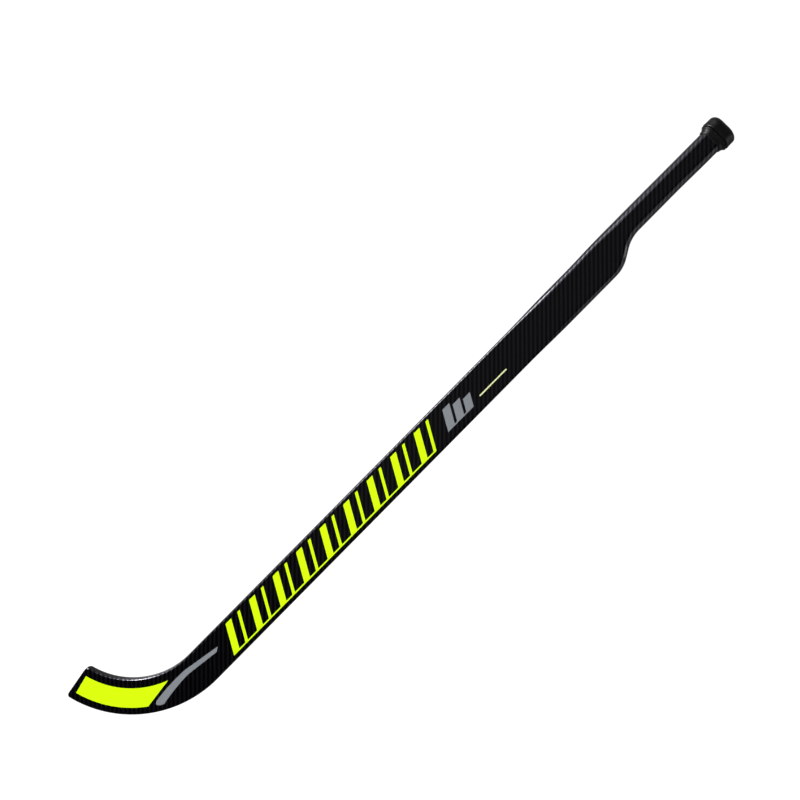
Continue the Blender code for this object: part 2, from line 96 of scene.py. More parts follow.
def set_up(tree, shader, **sockets):
    """Sets or links the shader's sockets, named with underscores for spaces."""
    for name, value in sockets.items():
        socket = shader.inputs[name.replace("_", " ")]
        if isinstance(value, bpy.types.NodeSocket):
            tree.links.new(value, socket)
        else:
            socket.default_value = value


def bumps(tree, height, depth):
    """Normal of a surface that rises by depth where height goes from 0 to 1."""
    return wire(tree, "ShaderNodeBump", {"Height": height, "Distance": depth, "Strength": 1.0}).outputs[0]


def place_on_piece(tree):
    """Position on the piece, in metres."""
    return wire(tree, "ShaderNodeTexCoord").outputs["Object"]


def foam(name, shades, cell):
    """Rigid foam: cut cells of one size, with painted shade in their pits, under a slow drift of tone."""
    material, tree, shader = new_finish(name)
    place = place_on_piece(tree)
    cells = wire(tree, "ShaderNodeTexVoronoi", {"Vector": place, "Scale": 1 / cell}).outputs["Distance"]
    drift = reckon(tree, "MULTIPLY", noise(tree, place, 45.0, 5.0), FOAM_DRIFT)
    # Painted shade: the cell height that sinks the pits also darkens the colour in them.
    share = reckon(tree, "SUBTRACT", FOAM_LIGHTEST, reckon(tree, "ADD", cells, drift))
    set_up(tree, shader, Base_Color=tint(tree, share, *shades), Roughness=0.92,
           Normal=bumps(tree, cells, -CELL_DEPTH * cell))
    return material


def give(material, *names):
    """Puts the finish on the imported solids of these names."""
    for name in names:
        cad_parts[name].material_slots[0].material = material


give(foam("tan blade foam", DENSE_FOAM, DENSE_CELL), "blade_core", "shoulder_block")
give(foam("cream paddle foam", LIGHT_FOAM, LIGHT_CELL),
     "upper_paddle_core", "lower_paddle_core", "handle_core")

# Heel block and butt plug
# Two blocks of beech, with the grain along the stick: one stiffens the heel's bend, the other closes the
# handle and takes the end cap's squeeze. Fine rings and short brown flecks show on the sawn faces.
BEECH = ((0.36, 0.205, 0.10), (0.60, 0.40, 0.225))
BEECH_FLECK = (0.27, 0.14, 0.065)
RING_WIDTH = 1.7 * MM
RING_SHARPNESS = 3.0
RING_SWAY = (0.0, 4 * MM, 4 * MM)
PITH = (0.0, 18 * MM, -30 * MM)
ALONG_GRAIN = (0.06, 1, 1)
FLECK_FROM = 0.66
FLECK_DEPTH = 0.7
RING_WEIGHT = 0.6
PORE_WEIGHT = 0.5


def beech(name):
    """Wood: rings round a pith line that runs along x, fine pores, and short flecks along the grain."""
    material, tree, shader = new_finish(name)
    place = place_on_piece(tree)
    sway = wire(tree, "ShaderNodeTexNoise", {"Vector": place, "Scale": 14.0, "Detail": 3.0}).outputs["Color"]
    sway = wire(tree, "ShaderNodeVectorMath", {0: sway, 1: RING_SWAY}, operation="MULTIPLY").outputs[0]
    bent = wire(tree, "ShaderNodeVectorMath", {0: place, 1: sway}, operation="ADD").outputs[0]
    from_pith = wire(tree, "ShaderNodeMapping", {"Vector": bent, "Location": PITH, "Scale": (0, 1, 1)})
    away = wire(tree, "ShaderNodeVectorMath", {0: from_pith.outputs[0]}, operation="LENGTH").outputs["Value"]
    ring = reckon(tree, "FRACT", reckon(tree, "DIVIDE", away, RING_WIDTH))
    ring = reckon(tree, "POWER", ring, RING_SHARPNESS)
    along = wire(tree, "ShaderNodeMapping", {"Vector": place, "Scale": ALONG_GRAIN}).outputs[0]
    pores = noise(tree, along, 3500.0, 3.0)
    flecks = reckon(tree, "GREATER_THAN", noise(tree, along, 900.0, 1.0), FLECK_FROM)
    fleck = reckon(tree, "MULTIPLY", flecks, FLECK_DEPTH)
    grain = reckon(tree, "ADD", reckon(tree, "MULTIPLY", ring, RING_WEIGHT),
                   reckon(tree, "MULTIPLY", pores, PORE_WEIGHT))
    colour = tint(tree, fleck, tint(tree, grain, BEECH[1], BEECH[0]), BEECH_FLECK)
    set_up(tree, shader, Base_Color=colour, Roughness=0.62, Normal=bumps(tree, pores, -0.06 * MM))
    return material


give(beech("beech along the stick"), "heel_block", "butt_plug")

# Paddle rib
# A thin web of pressed carbon and glass stands on edge between the two paddle cores and ties the two faces
# together. Its cut edges show the plies as pale and dark lines.
PLY = 0.25 * MM
SAW_MARK = 0.3 * PLY
PLY_CONTRAST = 1.8
WEB_SHADES = ((0.012, 0.012, 0.013), (0.11, 0.115, 0.10))


def pressed_web(name):
    """Plies that lie along the web, pale and dark by turns, with a ragged saw mark."""
    material, tree, shader = new_finish(name)
    place = place_on_piece(tree)
    parts = wire(tree, "ShaderNodeSeparateXYZ", {0: place})
    ragged = noise(tree, place, 700.0, 4.0)
    depth = reckon(tree, "ADD", parts.outputs[1], reckon(tree, "MULTIPLY", ragged, SAW_MARK))
    ply = reckon(tree, "FRACT", reckon(tree, "DIVIDE", depth, PLY))
    wave = reckon(tree, "ABSOLUTE", reckon(tree, "SUBTRACT", ply, 0.5))
    set_up(tree, shader, Base_Color=tint(tree, reckon(tree, "MULTIPLY", wave, PLY_CONTRAST), *WEB_SHADES),
           Roughness=0.55, Normal=bumps(tree, ragged, 0.05 * MM))
    return material


give(pressed_web("pressed web"), "paddle_rib")

# Skins
# Two half shells of carbon cloth and resin, moulded as the front and the back of the whole stick and bonded
# along a seam round its middle. The long edges are rounded, the toe is cut off, the shoulder steps in to
# the handle, and the butt is ground down to a tenon for the cap. A clear gloss lacquer covers the weave.
HALF_THICKNESS = 10.0 * MM
SKIN = 1.6 * MM
PADDLE_HALF_WIDTH = 22.85 * MM
SWELL = 1.15 * MM
SWELL_RUN = (547 * MM, 620 * MM)
CONCAVE_RISE = 1.2 * MM
CONCAVE_RISE_RUN = (655 * MM, 718 * MM)
INNER_RADIUS = 97.5 * MM
OUTER_RADIUS = 147.6 * MM
OUTER_ARC_START = 5.4 * MM
OUTER_ARC_RUN = 100 * MM
TOE_SWEEP = math.radians(80.15)
TOE_SETBACK = 2.5 * MM
TOE_INNER_CORNER = 6.4 * MM
TOE_OUTER_CORNER = 4.5 * MM
CORNER_STEPS = 8
CORNER_BLEND = 0.4
SHOULDER_START = 697.5 * MM
SHOULDER_ANGLE = math.radians(31)
SHOULDER_OUTER_RADIUS = 47 * MM
SHOULDER_INNER_RADIUS = 50 * MM
SHOULDER_RISE = 19.9 * MM
CONCAVE_DRIFT = 0.45 * MM
CONCAVE_DRIFT_RUN = (750 * MM, 885 * MM)
CONVEX_DRIFT = 0.95 * MM
CONVEX_DRIFT_RUN = (816 * MM, 885 * MM)
EDGE_RADIUS = 2.7 * MM
UPPER_EDGE_GAIN = 3.4 * MM
HANDLE_EDGE_GAIN = 2.1 * MM
HANDLE_EDGE_RUN = (690 * MM, 750 * MM)
HOOK_EDGE_RADII = ((0.0, 2.7), (0.2, 2.2), (0.7, 2.2), (1.0, 2.8))
TOE_EDGE_RADIUS = 1.7 * MM
EDGE_STEPS = 10
LIP_X = 893 * MM
CAP_LENGTH = 30.3 * MM
CAP_X = LIP_X + CAP_LENGTH
BUTT_X = CAP_X - 6.8 * MM
TENON_STEP = 0.7 * MM
TENON_X = LIP_X - 1.0 * MM
BOW = 4.2 * MM
BOW_RUN = (870 * MM, 891 * MM)
GROUND_FROM_BOW = 0.02
GROUND_SLACK = 0.99
SEAM = ((0.0, 0.3 * MM), (0.05 * MM, 0.08 * MM), (0.16 * MM, 0.02 * MM))
TOW = 1.88 * MM
TOW_LEAST_HEIGHT = 0.45
TOW_WAVE = 0.55
STREAKS_ACROSS = 14.0
STREAKS_ALONG = 0.7
WELD = 0.001 * MM
COLUMNS = 14
TENON_RUNGS = 4
DENSE_RUN = (690 * MM, 800 * MM)

INNER_CENTRE = np.array([0.0, PADDLE_HALF_WIDTH + INNER_RADIUS])
OUTER_CENTRE = np.array([OUTER_ARC_START, OUTER_RADIUS - PADDLE_HALF_WIDTH])
SLOPE_RUN = (SHOULDER_RISE - (SHOULDER_OUTER_RADIUS + SHOULDER_INNER_RADIUS)
             * (1 - math.cos(SHOULDER_ANGLE))) / math.tan(SHOULDER_ANGLE)
SHOULDER_END = (SHOULDER_START + SLOPE_RUN
                + (SHOULDER_OUTER_RADIUS + SHOULDER_INNER_RADIUS) * math.sin(SHOULDER_ANGLE))

# The plan's own origin: x from the heel, y from the paddle's middle line, z from the middle of the thickness.
cap_low, cap_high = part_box("end_cap")
skin_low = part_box("front_skin")[0]
ORIGIN = np.array([cap_high.x - CAP_X, skin_low.y + PADDLE_HALF_WIDTH + SWELL,
                   (cap_low.z + cap_high.z) / 2])


def ease(x, run):
    """0 before the run, 1 after it, and a smooth step along it."""
    u = np.clip((x - run[0]) / (run[1] - run[0]), 0, 1)
    return u * u * (3 - 2 * u)


def shoulder_rise(x):
    """How far the shoulder has stepped in at x: an arc, a slope, and an arc the other way."""
    u = np.clip(x - SHOULDER_START, 0, SHOULDER_END - SHOULDER_START)
    back = SHOULDER_END - SHOULDER_START - u
    first = SHOULDER_OUTER_RADIUS * math.sin(SHOULDER_ANGLE)
    last = SHOULDER_INNER_RADIUS * math.sin(SHOULDER_ANGLE)
    arc_in = SHOULDER_OUTER_RADIUS - np.sqrt(SHOULDER_OUTER_RADIUS ** 2 - np.minimum(u, first) ** 2)
    arc_out = SHOULDER_INNER_RADIUS - np.sqrt(SHOULDER_INNER_RADIUS ** 2 - np.minimum(back, last) ** 2)
    slope = SHOULDER_OUTER_RADIUS * (1 - math.cos(SHOULDER_ANGLE)) + (u - first) * math.tan(SHOULDER_ANGLE)
    return np.where(u < first, arc_in, np.where(back < last, SHOULDER_RISE - arc_out, slope))


def concave_edge(x):
    """Height y of the straight edge on the hook's side."""
    return (PADDLE_HALF_WIDTH + SWELL * ease(x, SWELL_RUN) + CONCAVE_RISE * ease(x, CONCAVE_RISE_RUN)
            - CONCAVE_DRIFT * ease(x, CONCAVE_DRIFT_RUN))


def convex_edge(x):
    """Height y of the edge on the outer side, with the shoulder."""
    return (-PADDLE_HALF_WIDTH - SWELL * ease(x, SWELL_RUN) + shoulder_rise(x)
            - CONVEX_DRIFT * ease(x, CONVEX_DRIFT_RUN))


def edge_radius(x):
    """Radius of the rounded long edges at x."""
    return EDGE_RADIUS + UPPER_EDGE_GAIN * ease(x, SWELL_RUN) + HANDLE_EDGE_GAIN * ease(x, HANDLE_EDGE_RUN)


def on_circle(centre, radius, sweeps):
    """Points at a radius from a centre, where a sweep turns from straight below towards the toe."""
    return (centre[:, None] + radius * np.stack([-np.sin(sweeps), -np.cos(sweeps)])).T


def spread(edge, x, inset, inward):
    """Points moved in from a long edge along its normal; inward is +1 where the stick lies above the edge."""
    probe = 0.1 * MM
    slope = (edge(x + probe) - edge(x - probe)) / (2 * probe)
    across = inset / np.sqrt(1 + slope ** 2)
    return np.column_stack([x - slope * across * inward, edge(x) + across * inward])


# Places along the stick from the butt to the heel, closest at the shoulder, with the tenon's step doubled.
ALONG = np.concatenate([
    np.linspace(BUTT_X, TENON_X, TENON_RUNGS), np.linspace(TENON_X, DENSE_RUN[1], 14)[:-1],
    np.linspace(DENSE_RUN[1], DENSE_RUN[0], 46)[:-1], np.linspace(DENSE_RUN[0], 0, 77)])
ON_TENON = np.arange(len(ALONG)) < TENON_RUNGS
ROUND_HOOK = np.linspace(0, 1, 46)[1:]


def rim(wall, turn, seam=None):
    """One line of points along the rim: concave side, toe, convex side, and how high it stands.

    turn goes from 0 at the face to 90 degrees at the side of the rounding. wall is how far the line lies
    inside the outer surface. seam is a further inset and a fixed height, for the lines beside the seam. Each
    toe corner touches the toe's cut and one arc of the blade, and its edge narrows to the cut's. Near the
    butt the line is bowed along the stick by the square of its height, and near the heel the convex side's
    points slide back to where the outer arc starts.
    """
    seam_inset, seam_height = seam or (0.0, None)

    def placed(walls, radius):
        """Inset and height of the line where the long edge is rounded by a radius."""
        turned = radius - walls
        high = HALF_THICKNESS - walls - turned * (1 - math.cos(turn))
        if seam:
            high = np.full(len(high), seam_height)
        return walls + turned * (1 - math.sin(turn)) + seam_inset, high

    inset, high = placed(np.where(ON_TENON, max(wall, TENON_STEP), wall), edge_radius(ALONG))
    near_butt = ease(ALONG, BOW_RUN) * np.where(ON_TENON, (BUTT_X - ALONG) / (BUTT_X - TENON_X), 1)
    x = ALONG + BOW * (high / HALF_THICKNESS) ** 2 * near_butt
    near_heel = np.where(x < OUTER_ARC_RUN, OUTER_ARC_START * (1 - x / OUTER_ARC_RUN), 0)
    concave = spread(concave_edge, x, inset, -1)
    convex = spread(convex_edge, x + near_heel, inset, 1)

    hook_radius = np.interp(ROUND_HOOK, *np.array(HOOK_EDGE_RADII).T) * MM
    deep, hook_high = placed(wall, hook_radius)
    off_cut = 1 - ease(np.linspace(0, 1, CORNER_STEPS + 1)[1:], (0, CORNER_BLEND))
    corner_radius = TOE_EDGE_RADIUS + (hook_radius[-1] - TOE_EDGE_RADIUS) * off_cut
    cut_deep, cut_high = placed(wall, corner_radius)
    radial = np.array([-math.sin(TOE_SWEEP), -math.cos(TOE_SWEEP)])
    forward = np.array([-math.cos(TOE_SWEEP), math.sin(TOE_SWEEP)])
    inner, outer = INNER_RADIUS + deep, OUTER_RADIUS - deep
    away = INNER_RADIUS + TOE_INNER_CORNER
    back = TOE_SETBACK + TOE_INNER_CORNER
    inner_middle = INNER_CENTRE + math.sqrt(away ** 2 - back ** 2) * radial - back * forward
    inner_end = TOE_SWEEP - math.asin(back / away)
    away = OUTER_RADIUS - TOE_OUTER_CORNER
    back = TOE_SETBACK + TOE_OUTER_CORNER
    start = INNER_CENTRE - back * forward - OUTER_CENTRE
    reach = -start @ radial + math.sqrt((start @ radial) ** 2 - start @ start + away ** 2)
    outer_middle = INNER_CENTRE + reach * radial - back * forward
    outer_end = math.atan2(*(OUTER_CENTRE - outer_middle))
    toe_turn = TOE_SWEEP + math.pi / 2
    inner_sweeps = np.linspace(inner_end + math.pi, toe_turn, CORNER_STEPS + 1)[1:]
    outer_sweeps = np.linspace(outer_end, toe_turn, CORNER_STEPS + 1)[1:]
    concave = np.concatenate([
        concave, on_circle(INNER_CENTRE, inner, ROUND_HOOK * inner_end),
        on_circle(inner_middle, TOE_INNER_CORNER - cut_deep, inner_sweeps)])
    convex = np.concatenate([
        convex, on_circle(OUTER_CENTRE, outer, ROUND_HOOK * outer_end),
        on_circle(outer_middle, TOE_OUTER_CORNER - cut_deep, outer_sweeps)])
    high = np.concatenate([high, hook_high, cut_high])
    share = np.linspace(0, 1, COLUMNS + 1)[1:-1, None]
    toe = concave[-1] * (1 - share) + convex[-1] * share
    line = np.concatenate([concave, toe, convex[::-1]])
    high = np.concatenate([high, np.full(len(toe), high[-1]), high[::-1]])
    return np.column_stack([line, high])


def across_face(line):
    """Grid of points over a flat face, from its border line.

    Its rungs run straight from the concave side to the convex one.
    """
    side = (len(line) - COLUMNS + 1) // 2
    share = np.linspace(0, 1, COLUMNS + 1)[None, :, None]
    return line[:side, None] * (1 - share) + line[::-1][:side, None] * share


def grid_faces(rows, columns, first=0):
    """Four-cornered faces between neighbouring points of a grid, numbered row by row."""
    at = first + np.arange(rows * columns).reshape(rows, columns)
    return np.stack([at[:-1, :-1], at[1:, :-1], at[1:, 1:], at[:-1, 1:]], axis=-1).reshape(-1, 4).tolist()


def add_piece(name, points, faces, finishes, body, plan=None, sharp=35):
    """Makes a named piece of the stick from points on the plan, and lets it ride on a body.

    Points that meet are welded, faces are turned outwards, and edges sharper than an angle stay sharp. plan
    gives each point its place in the cloth, which goes into the piece's weave map.
    """
    mesh = bpy.data.meshes.new(name)
    mesh.from_pydata((points + ORIGIN).tolist(), [], faces)
    if plan is not None:
        corners = np.zeros(len(mesh.loops), dtype=np.int32)
        mesh.loops.foreach_get("vertex_index", corners)
        mesh.uv_layers.new(name="weave").data.foreach_set("uv", plan[corners].ravel())
    work = bmesh.new()
    work.from_mesh(mesh)
    bmesh.ops.remove_doubles(work, verts=work.verts, dist=WELD)
    bmesh.ops.recalc_face_normals(work, faces=work.faces)
    work.to_mesh(mesh)
    work.free()
    mesh.shade_smooth()
    mesh.set_sharp_from_angle(angle=math.radians(sharp))
    for finish in finishes:
        mesh.materials.append(finish)
    piece = bpy.data.objects.new(name, mesh)
    bpy.context.scene.collection.objects.link(piece)
    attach(piece, body)
    return piece


def blend(tree, share, low, high):
    """Number that goes from low to high as share goes from 0 to 1. Sockets 2 and 3 take the two numbers."""
    return wire(tree, "ShaderNodeMix", {0: share, 2: low, 3: high}).outputs[0]


def cloth(tree):
    """Two-by-two twill of carbon tows. Gives its height, where the warp lies on top, and its filaments.

    The place in the cloth is counted in tows: whole parts name the crossing, and the warp lies on top where
    their difference, modulo four, is under two. Each tow is a hump across itself and a half wave along its
    float of two crossings.
    """
    uv = wire(tree, "ShaderNodeUVMap", uv_map="weave").outputs[0]
    counted = wire(tree, "ShaderNodeVectorMath", {0: uv, 3: 1 / TOW}, operation="SCALE").outputs[0]
    parts = wire(tree, "ShaderNodeSeparateXYZ", {0: counted})
    u, v = parts.outputs[0], parts.outputs[1]
    i, j = reckon(tree, "FLOOR", u), reckon(tree, "FLOOR", v)
    warp_up = reckon(tree, "LESS_THAN",
                     reckon(tree, "FLOORED_MODULO", reckon(tree, "SUBTRACT", i, j), 4.0), 2.0)

    def tow(across, along):
        """Hump of one tow: round across, and a half wave along."""
        off_middle = reckon(tree, "SUBTRACT", reckon(tree, "FRACT", across), 0.5)
        fall = reckon(tree, "MULTIPLY", reckon(tree, "POWER", off_middle, 2.0), 4.0)
        hump = reckon(tree, "SUBTRACT", 1.0, fall)
        wave = reckon(tree, "SINE", reckon(tree, "MULTIPLY", along, math.pi / 2))
        return reckon(tree, "MULTIPLY", reckon(tree, "POWER", hump, 0.5),
                      reckon(tree, "ADD", TOW_LEAST_HEIGHT, reckon(tree, "MULTIPLY", wave, TOW_WAVE)))

    warp = tow(v, reckon(tree, "FLOORED_MODULO", reckon(tree, "SUBTRACT", u, j), 4.0))
    weft = tow(u, reckon(tree, "SUBTRACT",
                         reckon(tree, "FLOORED_MODULO", reckon(tree, "SUBTRACT", v, i), 4.0), 1.0))
    filaments = []
    for streaks in ((STREAKS_ACROSS, STREAKS_ALONG, 1.0), (STREAKS_ALONG, STREAKS_ACROSS, 1.0)):
        way = wire(tree, "ShaderNodeMapping", {"Vector": counted, "Scale": streaks}).outputs[0]
        filaments.append(noise(tree, way, 1.0))
    return blend(tree, warp_up, weft, warp), warp_up, blend(tree, warp_up, *filaments)


def lacquer_ripple(tree):
    """Normal of the lacquer: a slow ripple, at most two hundredths of a millimetre high."""
    return bumps(tree, noise(tree, place_on_piece(tree), 90.0, 1.0), 0.02 * MM)


# Painted sheen and shade: warp and weft are the same carbon, with the warp painted lighter and the weft
# darker.
WEFT_PAINTED_SHADE = ((0.0006, 0.0006, 0.0008), (0.003, 0.0029, 0.0042))
WARP_PAINTED_SHEEN = ((0.006, 0.0058, 0.0085), (0.078, 0.073, 0.104))
LEAST_PAINTED_SHEEN = 0.45
GROUND_WEFT_SHADES = ((0.004, 0.004, 0.005), (0.014, 0.014, 0.016))
GROUND_WARP_SHADES = ((0.008, 0.008, 0.009), (0.028, 0.028, 0.031))
GROUND_TONE = 0.6
SCRATCH_WAY = (0.08, 1, 1)


def gloss_carbon(name):
    """Carbon twill under clear lacquer, with painted sheen.

    The warp's humps are painted bright as a painted sheen, and the weft is painted near black as painted
    shade.
    """
    material, tree, shader = new_finish(name)
    hump, warp_up, filament = cloth(tree)
    # Painted sheen: each tow is painted brighter on its crown and streaked by its filaments.
    painted_sheen = reckon(tree, "MULTIPLY", hump, reckon(tree, "ADD", LEAST_PAINTED_SHEEN, filament))
    colour = tint(tree, warp_up, tint(tree, painted_sheen, *WEFT_PAINTED_SHADE), tint(tree, painted_sheen, *WARP_PAINTED_SHEEN))
    set_up(tree, shader, Base_Color=colour, Metallic=1.0, Roughness=0.3,
           Normal=bumps(tree, hump, 0.09 * MM), Coat_Weight=1.0, Coat_Roughness=0.045,
           Coat_Normal=lacquer_ripple(tree))
    return material


def ground_carbon(name):
    """Carbon ground flat for the cap: dull grey, with the weave cut through and fine scratches."""
    material, tree, shader = new_finish(name)
    _, warp_up, filament = cloth(tree)
    way = wire(tree, "ShaderNodeMapping", {"Vector": place_on_piece(tree), "Scale": SCRATCH_WAY}).outputs[0]
    scratches = noise(tree, way, 4000.0)
    share = reckon(tree, "MULTIPLY", reckon(tree, "ADD", filament, scratches), GROUND_TONE)
    colour = tint(tree, warp_up, tint(tree, share, *GROUND_WEFT_SHADES),
                  tint(tree, share, *GROUND_WARP_SHADES))
    set_up(tree, shader, Base_Color=colour, Roughness=0.6, Normal=bumps(tree, scratches, 0.03 * MM))
    return material


gloss = gloss_carbon("lacquered carbon twill")
ground = ground_carbon("ground carbon twill")


def half_shell(face, side):
    """One skin. Lines of the rim run from the face over the rounded edge to the seam and back up inside.

    The place in the cloth is the plan position of the face's border, plus the way walked outwards over the
    edge; the back's cloth is mirrored, so that its twill leans the same way when seen from outside. Faces
    whose middle lies beyond the bowed end of the lacquer are ground carbon.
    """
    turns = np.radians(np.linspace(0, 90, EDGE_STEPS + 1))
    lines = [rim(0.0, turn) for turn in turns]
    lines += [rim(0.0, turns[-1], seam) for seam in SEAM]
    lines += [rim(SKIN, turns[-1], (0.0, SEAM[-1][1]))]
    lines += [rim(SKIN, turn) for turn in turns[::-2]]
    rings = np.array(lines)
    steps = np.linalg.norm(np.diff(rings, axis=0), axis=2)
    walked = np.concatenate([np.zeros((1, rings.shape[1])), np.cumsum(steps, axis=0)])
    out = rings[EDGE_STEPS, :, :2] - rings[0, :, :2]
    out /= np.linalg.norm(out, axis=1)[:, None]
    ring_plan = rings[0, :, :2] + out * walked[..., None]
    outer, inner = across_face(rings[0]), across_face(rings[-1])

    patches, faces, first = [rings, outer, inner], [], 0
    for patch in patches:
        faces += grid_faces(*patch.shape[:2], first)
        first += patch.shape[0] * patch.shape[1]
    at_rings = np.arange(rings.shape[0] * rings.shape[1]).reshape(rings.shape[:2])
    at_outer = at_rings.size + np.arange(COLUMNS + 1)
    at_inner = at_rings.size + outer.shape[0] * outer.shape[1] + np.arange(COLUMNS + 1)
    butt = [at_rings[:, 0], at_inner[1:-1], at_rings[::-1, -1], at_outer[-2:0:-1]]
    faces.append(np.concatenate(butt).tolist())
    points = np.concatenate([patch.reshape(-1, 3) for patch in patches]) * (1, 1, side)
    plan = np.concatenate([ring_plan.reshape(-1, 2), outer[..., :2].reshape(-1, 2),
                           inner[..., :2].reshape(-1, 2)]) * (1, side)
    shell = add_piece(face + "_shell", points, faces, (gloss, ground), "stick", plan)
    middles = np.zeros(len(shell.data.polygons) * 3)
    shell.data.polygons.foreach_get("center", middles)
    middles = middles.reshape(-1, 3) - ORIGIN
    bowed = BOW * (middles[:, 2] / HALF_THICKNESS) ** 2
    is_ground = middles[:, 0] > TENON_X + np.maximum(BOW * GROUND_FROM_BOW, bowed * GROUND_SLACK)
    shell.data.polygons.foreach_set("material_index", is_ground.astype(np.int32))
    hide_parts(face + "_skin")


half_shell("front", 1)
half_shell("back", -1)

# Prints
# The marks are thin films of ink, screened on both faces under the lacquer: a fluorescent yellow panel on the
# blade, a grey stripe round the heel, a row of leaning yellow bars, three grey bars and a pale pinstripe. The
# yellow ink carries a painted glow.
FILM_TOP = 0.035 * MM
FILM_FOOT = -0.02 * MM
FILM_BEVEL = 0.03 * MM
PRINT_CORNER = 0.5 * MM
BLADE_PANEL_CENTRE = np.array([0.0, 119.85 * MM])
BLADE_PANEL_RADII = (108.0 * MM, 131.6 * MM)
BLADE_PANEL_TOE = math.radians(75.95)
BLADE_PANEL_HEEL = (math.radians(20.6), math.radians(36.2))
STRIPE_KNEE_X = -15 * MM
STRIPE_TOP_START_X = -66 * MM
STRIPE_BOTTOM_START_X = -62 * MM
STRIPE_TOP = (-30 * MM, 13.65 * MM)
STRIPE_BOTTOM = (-15 * MM, 6.5 * MM)
STRIPE_TOP_BEND = 1.9
STRIPE_BOTTOM_BEND = 2.1
STRIPE_LEFT_END = ((-68.8, 9.4), (-69.0, 7.4), (-67.4, 4.9))
STRIPE_TIP = ((33.9, 4.85), (28.15, 1.0))
BAR_LEAN = math.tan(math.radians(30))
BAR_HALF_HEIGHT = 17.3 * MM
BAR_START = 50 * MM
BAR_PITCH = 20.4 * MM
BAR_COUNT = 18
BAR_WIDTHS = (9.8 * MM, 4.2 * MM)
BASE_LINE = 1.6 * MM
GREY_BARS = ((424, 12.0, 12.6), (440, 12.0, 8.4), (456, 12.0, 4.2))
GREY_BASE_Y = -11.6 * MM
PINSTRIPE = (475.6 * MM, 521.9 * MM)
PINSTRIPE_Y = -7.8 * MM
PINSTRIPE_HALF_WIDTH = 0.8 * MM
JUST_UNDER_HALF = 0.499
YELLOW_SHADES = ((0.50, 0.79, 0.0), (0.55, 0.86, 0.0))
# Painted glow: light given off by the yellow ink, which is no lamp.
YELLOW_PAINTED_GLOW = 0.4
GREY_SHADES = ((0.205, 0.222, 0.244), (0.28, 0.302, 0.328))
GREY_METALLIC = 0.1
PALE_SHADES = ((0.80, 0.86, 0.42), (0.88, 0.93, 0.50))
MOTTLE_WEIGHT = 0.6
PATCH_WEIGHT = 0.4


def blade_panel():
    """Panel between two arcs of the blade, square at the toe and drawn to a point at the heel."""
    inner_heel, outer_heel = BLADE_PANEL_HEEL
    return np.concatenate([
        on_circle(BLADE_PANEL_CENTRE, BLADE_PANEL_RADII[0], np.linspace(inner_heel, BLADE_PANEL_TOE, 24)),
        on_circle(BLADE_PANEL_CENTRE, BLADE_PANEL_RADII[1], np.linspace(BLADE_PANEL_TOE, outer_heel, 20))])


def heel_stripe():
    """Stripe with two edges that bend down as the square of the distance, and a slanting thin end."""
    top_x = np.linspace(STRIPE_TOP_START_X, STRIPE_KNEE_X, 12)
    bottom_x = np.linspace(STRIPE_KNEE_X, STRIPE_BOTTOM_START_X, 12)
    top = STRIPE_TOP[1] - STRIPE_TOP_BEND * (top_x - STRIPE_TOP[0]) ** 2
    bottom = STRIPE_BOTTOM[1] - STRIPE_BOTTOM_BEND * (bottom_x - STRIPE_BOTTOM[0]) ** 2
    return np.concatenate([
        np.column_stack([top_x, top]), np.array(STRIPE_TIP) * MM, np.column_stack([bottom_x, bottom]),
        np.array(STRIPE_LEFT_END)[::-1] * MM])


def comb(bars, base_y):
    """Leaning bars on one thin base line. A bar is the x where its left side crosses y = 0, width and top."""
    line_y = base_y + BASE_LINE
    left, width, top = np.array(bars)[::-1].T
    right = left + width
    foot = np.full(len(left), line_y)
    teeth = np.stack([right + line_y * BAR_LEAN, foot, right + top * BAR_LEAN, top,
                      left + top * BAR_LEAN, top, left + line_y * BAR_LEAN, foot], axis=1)
    base = [[left[-1] + base_y * BAR_LEAN, base_y], [right[0] + base_y * BAR_LEAN, base_y]]
    return np.concatenate([base, teeth.reshape(-1, 2)[1:-1]])


def soft_corners(outline, cut, steps=5):
    """Outline with each corner replaced by a curve that leaves its sides at the same distance from it.

    The distance is less than half of the shorter side. The curve is a parabola: a corner, weighted 2t(1-t),
    between two points on the sides, weighted (1-t) squared and t squared.
    """
    ahead, behind = np.roll(outline, -1, axis=0) - outline, np.roll(outline, 1, axis=0) - outline
    lengths = np.linalg.norm(ahead, axis=1), np.linalg.norm(behind, axis=1)
    reach = np.minimum(cut, JUST_UNDER_HALF * np.minimum(*lengths))[:, None]
    leave = outline + behind / lengths[1][:, None] * reach
    join = outline + ahead / lengths[0][:, None] * reach
    t = np.linspace(0, 1, steps)[:, None, None]
    curve = (1 - t) ** 2 * leave + 2 * t * (1 - t) * outline + t ** 2 * join
    return curve.transpose(1, 0, 2).reshape(-1, 2)


def shrunk(outline, margin):
    """Outline moved inwards by a margin along the normal at each point."""
    tangent = np.roll(outline, -1, axis=0) - np.roll(outline, 1, axis=0)
    tangent /= np.linalg.norm(tangent, axis=1)[:, None]
    following = np.roll(outline, -1, axis=0)
    turning = np.sign(np.sum(outline[:, 0] * following[:, 1] - outline[:, 1] * following[:, 0]))
    return outline + turning * margin * np.column_stack([-tangent[:, 1], tangent[:, 0]])


def stacked_faces(levels, count):
    """Faces between closed lines of count points, each joined to the next, with the two end lines filled."""
    at = np.arange(levels * count).reshape(levels, count)
    around = np.roll(at, -1, axis=1)
    sides = np.stack([at[:-1], around[:-1], around[1:], at[1:]], axis=-1).reshape(-1, 4).tolist()
    return sides + [at[0].tolist(), at[-1].tolist()]


def film(face, side, name, outline, finish):
    """Closed film of ink on one face: a foot just under the surface, a side, a bevel and a flat top."""
    edge = soft_corners(outline, PRINT_CORNER)
    count = len(edge)
    levels = ((edge, FILM_FOOT), (edge, FILM_TOP - FILM_BEVEL * 0.5), (shrunk(edge, FILM_BEVEL), FILM_TOP))
    points = np.concatenate([
        np.column_stack([line, np.full(count, HALF_THICKNESS + z)]) for line, z in levels])
    piece = add_piece(face + "_" + name + "_print", points * (1, 1, side), stacked_faces(len(levels), count),
                      (finish,), "stick", points[:, :2] * (1, side), sharp=20)
    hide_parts(face + "_" + name)


